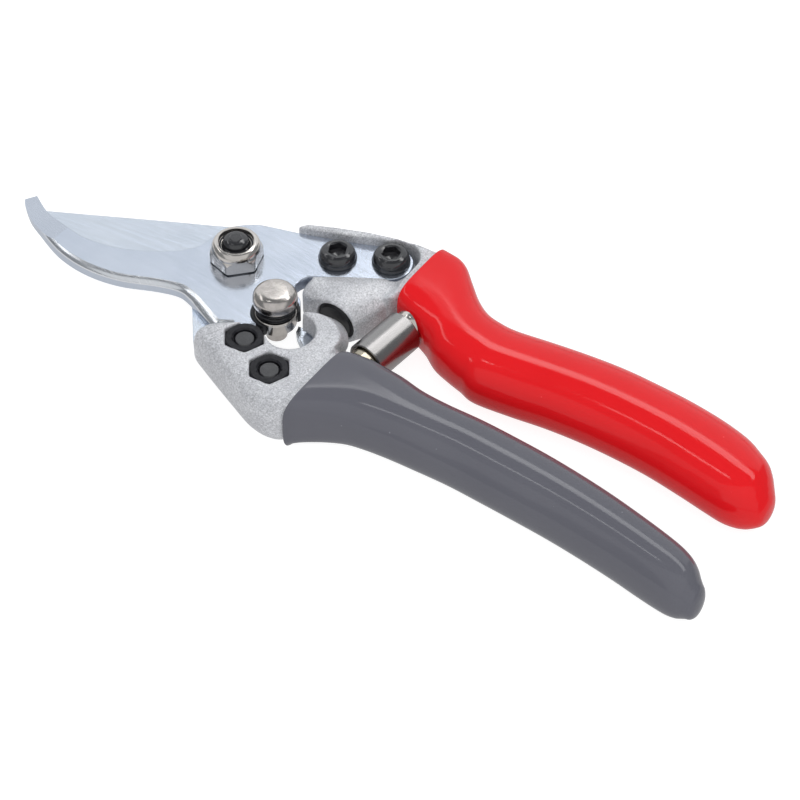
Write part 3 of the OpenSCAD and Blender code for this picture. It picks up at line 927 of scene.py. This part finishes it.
def button_screw(centre, up, length, twist):
    """A button-head screw with a hexagon socket; up points out of the head, centre is under it."""
    r, h = SCREW_HEAD_R, SCREW_HEAD_H
    rows = [(2.4 * MM, -length), (2.95 * MM, -length + 0.5 * MM)]
    rows += threaded_rows(3 * MM, -length + 0.5 * MM, -length + 6 * MM, SCREW_PITCH)
    rows += [(2.95 * MM, -length + 6.1 * MM), (2.95 * MM, 0), (r - 0.3 * MM, 0)]
    rows += [(r - 0.05 * MM, 0.1 * MM), (r, 0.3 * MM), (r, 0.62 * MM), (r - 0.05 * MM, 0.72 * MM)]
    shoulder = 3.5 * MM
    for i in range(9):
        t = math.pi / 2 * i / 8
        reach = shoulder + (r - 0.16 * MM - shoulder) * math.cos(t)
        rows.append((reach, 0.8 * MM + (h - 0.95 * MM) * math.sin(t)))
    rows += [(3.35 * MM, h - 0.06 * MM), (3.15 * MM, h), (2.98 * MM, h - 0.05 * MM)]
    for i in range(5):
        t = i / 4
        rows.append((hexagon(SOCKET, (2.85 - 0.1 * t) * MM), h - (0.14 + 0.5 * t) * MM))
    rows += [(hexagon(SOCKET), h - 0.75 * MM), (hexagon(SOCKET), h - 2.1 * MM)]
    rows += [(hexagon(SOCKET * 0.9), h - 2.2 * MM), (1.3 * MM, h - 2.25 * MM), (0.02 * MM, h - 2.6 * MM)]
    return around(rows, centre, up, twist)


def hook_screws():
    parts = []
    for i, c in enumerate(islands("hook_screws")):
        base = Vector((c.x, c.y, top_z))
        length = top_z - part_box("hook_screws")[0].z
        parts.append(button_screw(base, Vector((0, 0, 1)), length, math.radians((26, 12)[i])))
    mesh = recalculated(to_mesh("hook_screw_pair", *merged(*parts)))
    finish("hook_screw_pair", mesh, BLACK, "hook_side", ("hook_screws",), sharp=38)


def blade_screws():
    parts = []
    for i, c in enumerate(islands("blade_screws")):
        base = Vector((c.x, c.y, blade_z))
        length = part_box("blade_screws")[1].z - blade_z
        parts.append(button_screw(base, Vector((0, 0, -1)), length, math.radians((20, 50)[i])))
    mesh = recalculated(to_mesh("blade_screw_pair", *merged(*parts)))
    nut_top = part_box("blade_nuts")[1].z
    for face in mesh.polygons:
        face.material_index = int(face.center.z > nut_top - 0.5 * MM)
    blacks = [BLACK, BOLT_END]
    finish("blade_screw_pair", mesh, blacks, "blade_side", ("blade_screws",), sharp=38)


def nut_rows(flats, bore, height, both=True):
    """Rows of a hexagon nut from its foot round to its bore."""
    corner = flats / math.sqrt(3)
    drop = 0.16 * flats * 0.5
    low = drop if both else 0.0
    rows = []
    for i in range(5):
        t = i / 4
        if both:
            rows.append((hexagon(flats, flats / 2 * 0.97 + (corner - flats / 2 * 0.97) * t), low * t))
    if not both:
        rows.append((hexagon(flats, corner), 0.0))
    for i in range(5):
        t = i / 4
        rows.append((hexagon(flats, corner - (corner - flats / 2 * 0.97) * t), height - drop * (1 - t)))
    rows += [(bore + 0.45 * MM, height), (bore, height - 0.4 * MM), (bore, 0.4 * MM), (bore + 0.45 * MM, 0.0)]
    return rows


def small_nuts(name, node, body, twist):
    low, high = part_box(node)
    parts = []
    for c in islands(node):
        rows = nut_rows(10 * MM, 3.0 * MM, high.z - low.z)
        parts.append(around(rows, Vector((c.x, c.y, low.z)), twist=twist, close=True))
    mesh = recalculated(to_mesh(name, *merged(*parts)))
    finish(name, mesh, DULL_BLACK, body, (node,), sharp=30)


PIVOT_FLATS = 13 * MM
PIVOT_R = 4 * MM
PIVOT_PITCH = 1.25 * MM
NUT_TURN = math.radians(77)


def pivot():
    """The bolt, its locking nut and the nut's nylon ring."""
    top = Vector((0, 0, top_z))
    low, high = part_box("pivot_nut")
    height = high.z - low.z
    corner = PIVOT_FLATS / math.sqrt(3)
    rows = [(hexagon(PIVOT_FLATS, 6.7 * MM), 0), (hexagon(PIVOT_FLATS, 7.32 * MM), 0.45 * MM)]
    for i in range(9):
        t = i / 8
        rows.append((hexagon(PIVOT_FLATS, (7.32 - 0.5 * t) * MM), (4.1 - 1.1 * (1 - t) ** 1.6) * MM))
    for i in range(1, 12):
        t = i / 11
        rows.append(((6.82 - 1.6 * t**1.5) * MM, (4.1 + 2.3 * math.sin(math.pi / 2 * t) ** 0.95) * MM))
    rows += [(5.12 * MM, height - 0.02 * MM), (4.98 * MM, height), (4.84 * MM, height - 0.1 * MM)]
    rows += [(4.78 * MM, height - 0.3 * MM), (4.78 * MM, height - 1.2 * MM)]
    rows += [(4.02 * MM, height - 1.3 * MM), (4.02 * MM, 0.3 * MM)]
    mesh = recalculated(to_mesh("locknut", *around(rows, top, twist=NUT_TURN, sides=144, close=True)))
    # Faces within 0.4 mm of the plate get slot 1, the black oxide: a painted shadow line where the nut's foot
    # meets the plate
    for face in mesh.polygons:
        face.material_index = int(face.center.z < top_z + 0.4 * MM)
    finish("locknut", mesh, [NUT, BLACK], "hook_side", ("pivot_nut",), sharp=32)

    ring_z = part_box("nut_insert")[0].z
    rows = [(4.05 * MM, 0), (4.05 * MM, 1.3 * MM), (4.2 * MM, 1.62 * MM), (4.45 * MM, 1.72 * MM)]
    rows += [(4.68 * MM, 1.6 * MM), (4.74 * MM, 1.4 * MM), (4.74 * MM, 0)]
    mesh = recalculated(to_mesh("nylon_ring", *around(rows, Vector((0, 0, ring_z)), close=True)))
    finish("nylon_ring", mesh, NYLON, "hook_side", ("nut_insert",), sharp=50)

    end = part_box("pivot_bolt")[1].z
    rows = [(0.02 * MM, 0.35 * MM), (3.0 * MM, 0.3 * MM), (3.6 * MM, 0), (6.1 * MM, 0)]
    for i in range(5):
        t = i / 4
        rows.append((hexagon(PIVOT_FLATS, 6.3 * MM + (corner - 6.3 * MM) * t), 0.02 * MM + 0.9 * MM * t))
    rows += [(hexagon(PIVOT_FLATS), blade_z - 0.15 * MM), (hexagon(PIVOT_FLATS * 0.98), blade_z)]
    rows += [(PIVOT_R, blade_z), (PIVOT_R, end - 4.2 * MM)]
    rows += threaded_rows(PIVOT_R - 0.02 * MM, end - 4.1 * MM, end - 2.2 * MM, PIVOT_PITCH, 0.5 * MM)
    rows += [(3.7 * MM, end - 2.1 * MM), (3.6 * MM, end - 1.75 * MM)]
    for i in range(1, 9):
        t = math.pi / 2 * i / 8
        rows.append(((1.9 + 1.7 * math.cos(t)) * MM, end - 1.75 * MM + 1.5 * MM * math.sin(t)))
    rows += [(1.7 * MM, end - 0.2 * MM), (1.5 * MM, end), (0.02 * MM, end)]
    mesh = recalculated(to_mesh("bolt", *around(rows, Vector((0, 0, 0)), sides=120)))
    finish("bolt", mesh, BLACK, "hook_side", ("pivot_bolt",), sharp=34)


# ---- lock --------------------------------------------------------------------------------


def lock_pin():
    c = middle("lock_button")
    low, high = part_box("lock_button")
    base = Vector((c.x, c.y, 0))
    r = (high.x - low.x) / 2
    top = high.z
    rows = [(0.02 * MM, low.z), (2.3 * MM, low.z), (2.88 * MM, low.z + 0.5 * MM)]
    rows += [(2.9 * MM, top_z - 5.2 * MM)]
    rows += [(2.3 * MM, top_z - 5.1 * MM), (2.3 * MM, top_z), (3.36 * MM, top_z + 0.1 * MM)]
    rows += [(3.36 * MM, top_z + 3.9 * MM), (r - 0.35 * MM, top_z + 3.95 * MM)]
    rows += [(r - 0.06 * MM, top_z + 4.1 * MM)]
    flat = 3.0 * MM
    rows += [(r, top_z + 4.4 * MM), (r, top - 2.6 * MM)]
    for i in range(1, 13):
        t = math.pi / 2 * i / 12
        rows.append((flat + (r - flat) * math.cos(t), top - 2.6 * MM + 2.58 * MM * math.sin(t)))
    for i in range(1, 5):
        t = 1 - i / 4
        rows.append((max(flat * t, 0.02 * MM), top - 0.02 * MM * t * t))
    mesh = recalculated(to_mesh("lock_knob", *around(rows, base, sides=120)))
    finish("lock_knob", mesh, KNOB, "lock_pin", ("lock_button",), sharp=40)

    low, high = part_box("lock_collar")
    rc = (high.x - low.x) / 2
    rows = [(2.4 * MM, low.z), (2.9 * MM, low.z), (4.3 * MM, slide_z + 0.1 * MM)]
    rows += [(rc - 0.3 * MM, slide_z + 0.1 * MM), (rc, slide_z + 0.4 * MM)]
    rows += [(rc, top_z - 0.25 * MM), (rc - 0.12 * MM, top_z - 0.12 * MM), (rc - 0.12 * MM, top_z)]
    rows += [(rc, top_z + 0.08 * MM), (rc, top_z + 0.22 * MM), (rc - 0.18 * MM, high.z)]
    rows += [(4.4 * MM, high.z), (4.2 * MM, high.z - 0.15 * MM), (2.4 * MM, high.z - 0.3 * MM)]
    mesh = recalculated(to_mesh("lock_flange", *around(rows, base, sides=120, close=True)))
    finish("lock_flange", mesh, NICKEL, "lock_pin", ("lock_collar",), sharp=40)


# ---- spring ------------------------------------------------------------------------------

SPRING_SIDES = 150
STRIP_T = 0.75 * MM
STRIP_PITCH = 1.05 * MM
STRIP_RUN = 1.6 * MM
NOTCH = (math.radians(112), math.radians(126), 3.6 * MM)
FREE_END = math.radians(-110)


def spring_point(r, a, z):
    up = Vector((0, 0, 1))
    right = up.cross(spring_dir)
    right = -right if right.x < 0 else right
    return spring_seat + spring_dir * z + (up * math.cos(a) + right * math.sin(a)) * r


def spring_turn(i, body):
    """One turn of the volute: a strip wound inwards, its edges running along the spring."""
    node = f"spring_turn_{i + 1}"
    low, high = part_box(node)
    centre = middle(node)
    reach = (high.z - low.z) / 2
    ends = [(v.co - spring_seat).dot(spring_dir) for v in nodes[node].data.vertices]
    start, stop = min(ends), max(ends)
    if i:
        start = 3.2 * MM
    rows = []
    count = SPRING_SIDES
    for k in range(count + 1):
        f = k / count
        a = FREE_END + 2 * math.pi * f
        outer = reach - STRIP_PITCH * f
        inner = outer - STRIP_T
        z0 = start + STRIP_RUN * f
        z1 = stop + (1.2 * MM if i == 0 else 0) - STRIP_RUN * (1 - f) * 0.6
        if i == 0:
            t = min(max((a - NOTCH[0]) / (NOTCH[1] - NOTCH[0]), 0), 1)
            z0 += NOTCH[2] * t * t * (3 - 2 * t)
        e = 0.2 * MM
        section = [(inner, z0 + e), (inner + e, z0), (outer - e, z0), (outer, z0 + e)]
        section += [(outer, z1 - e), (outer - e, z1), (inner + e, z1), (inner, z1 - e)]
        rows.append([spring_point(r, a, z) for r, z in section])
    mesh = recalculated(to_mesh(f"volute_{i + 1}", *grid(rows)))
    material = SPRING if i == 0 else COIL
    finish(f"volute_{i + 1}", mesh, material, body, (node,), sharp=32)


# ---- plain carried-over pieces --------------------------------------------------------------


def carried(name, node, material, body, bevel=0.0):
    """A CAD node's shape, with its arrises broken when bevel is given."""
    mesh = copied_mesh(node)
    bm = bmesh.new()
    bm.from_mesh(mesh)
    bmesh.ops.remove_doubles(bm, verts=bm.verts, dist=2e-6)
    bmesh.ops.dissolve_limit(bm, angle_limit=math.radians(1), verts=bm.verts, edges=bm.edges)
    bm.to_mesh(mesh)
    bm.free()

    def soften(holder):
        made = holder.modifiers.new("bevel", "BEVEL")
        made.width = bevel
        made.segments = 3
        made.limit_method = "ANGLE"
        made.angle_limit = math.radians(40)

    if bevel:
        mesh = with_modifiers(mesh, soften)
    return finish(name, mesh, material, body, (node,), sharp=35)


def bumper():
    c = middle("rubber_bumper")
    low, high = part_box("rubber_bumper")
    r = (high.x - low.x) / 2
    face = Vector((c.x, low.y, c.z))
    rows = [(0.02 * MM, 5 * MM), (r, 5 * MM), (r, 1.1 * MM)]
    for i in range(7):
        t = math.pi / 2 * i / 6
        rows.append((r - 1.0 * MM * math.sin(t), 1.0 * MM * math.cos(t) if i < 6 else 0.0))
    for i in range(1, 6):
        rad = (r - 1.0 * MM) * (1 - i / 5)
        rows.append((max(rad, 0.02 * MM), 0.35 * MM * (i / 5)))
    mesh = recalculated(to_mesh("bumper", *around(rows, face, Vector((0, 1, 0)))))
    finish("bumper", mesh, RUBBER, "hook_side", ("rubber_bumper",), sharp=50)


# The castings' mesh size and how often it is relaxed
VOXEL = 0.33 * MM
PASSES = 26
# The nuts' recesses stay crisp within this radius
RECESS_R = 6.3 * MM
# The grey head's front edge: a point on it, its outward direction, the depth and number of its passes
GREY_FRONT = ((8.5 * MM, -31 * MM), (-0.371, -0.929), 7 * MM, 160)

studio()
recesses = [(c.x, c.y, RECESS_R) for c in islands("blade_nuts")]
casting("red_head", "red_casting", "hook_side", VOXEL, [], PASSES)
casting("grey_head", "grey_casting", "blade_side", VOXEL, recesses, PASSES, GREY_FRONT)
red_stations = grip_stations("red_grip", RED_NECK, RED_BODY, RED_TIP, RED_FILL)
grey_stations = grip_stations("grey_grip", GREY_NECK, GREY_BODY, GREY_TIP, {})
grip("red_grip_skin", "red_grip", red_stations, RED, "hook_side")
grip("grey_grip_skin", "grey_grip", grey_stations, GREY, "blade_side")
hook_blade()
cutting_blade()
hook_screws()
blade_screws()
small_nuts("hook_nut_pair", "hook_nuts", "hook_side", math.radians(30))
small_nuts("blade_nut_pair", "blade_nuts", "blade_side", math.radians(37))
pivot()
lock_pin()
for i, spring_body in enumerate(("spring_wide", "spring_mid", "spring_narrow", "spring_tip")):
    spring_turn(i, spring_body)
bumper()
carried("spring_seat_red", "spring_stud_red", NICKEL, "hook_side")
carried("spring_seat_grey", "spring_stud_grey", NICKEL, "blade_side")
carried("lock_orings_pair", "lock_orings", ORING, "lock_pin")
carried("lock_ring_black", "lock_ring", RUBBER, "hook_side", 0.25 * MM)
